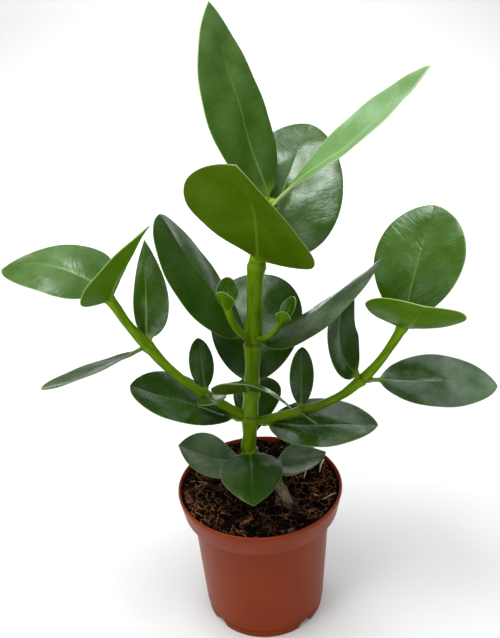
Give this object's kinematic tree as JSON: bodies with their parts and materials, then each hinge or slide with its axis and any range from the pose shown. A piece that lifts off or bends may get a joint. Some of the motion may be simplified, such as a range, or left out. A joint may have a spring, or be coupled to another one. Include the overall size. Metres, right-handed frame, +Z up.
{
  "type": "potted autograph tree",
  "caption": "Young Clusia plant with broad leathery leaves on a forked green stem, growing in a round terracotta-coloured plastic nursery pot.",
  "frame": {"origin": "on the pot's axis, at the centre of the flat pad under the pot, in the plane that the pot stands on", "axes": "+Z up along the pot's axis towards the plant; -Y towards the viewer who sees the main fork side on; +X to that viewer's right"},
  "size_m": [0.3153, 0.1356, 0.4303],
  "materials": {
    "pot_plastic": "matte moulded polypropylene, terracotta coloured",
    "potting_soil": "damp crumbly peat with coir fibres and bark chips",
    "stem_bark": "smooth green bark with pale lines, grey and woody at the base",
    "mature_leaf": "thick waxy leaf, dark green and glossy above, olive beneath",
    "young_leaf": "young waxy leaf, bright green and glossy"
  },
  "bodies": {
    "root": {"pot": "pot_plastic", "soil": "potting_soil", "stem": "stem_bark", "branch_left": "stem_bark", "branch_right": "stem_bark", "leaf_top_left": "young_leaf", "leaf_top_right": "young_leaf", "leaf_upper_front": "mature_leaf", "leaf_upper_back": "mature_leaf", "leaf_middle_left": "mature_leaf", "leaf_middle_right": "mature_leaf", "leaf_centre_front": "mature_leaf", "leaf_centre_back": "mature_leaf", "leaf_fork_left": "mature_leaf", "leaf_fork_right": "mature_leaf", "leaf_low_front": "mature_leaf", "leaf_low_back": "mature_leaf", "leaf_base_left": "mature_leaf", "leaf_base_right": "mature_leaf", "leaf_left_small_back": "mature_leaf", "leaf_left_small_front": "mature_leaf", "leaf_left_inner": "mature_leaf", "leaf_left_outer": "mature_leaf", "leaf_left_end_back": "young_leaf", "leaf_left_end_front": "young_leaf", "leaf_right_small_back": "mature_leaf", "leaf_right_small_front": "mature_leaf", "leaf_right_inner": "mature_leaf", "leaf_right_outer": "mature_leaf", "leaf_right_end_back": "young_leaf", "leaf_right_end_front": "young_leaf", "shoot_left": "young_leaf", "shoot_right": "young_leaf"}
  },
  "joints": []
}
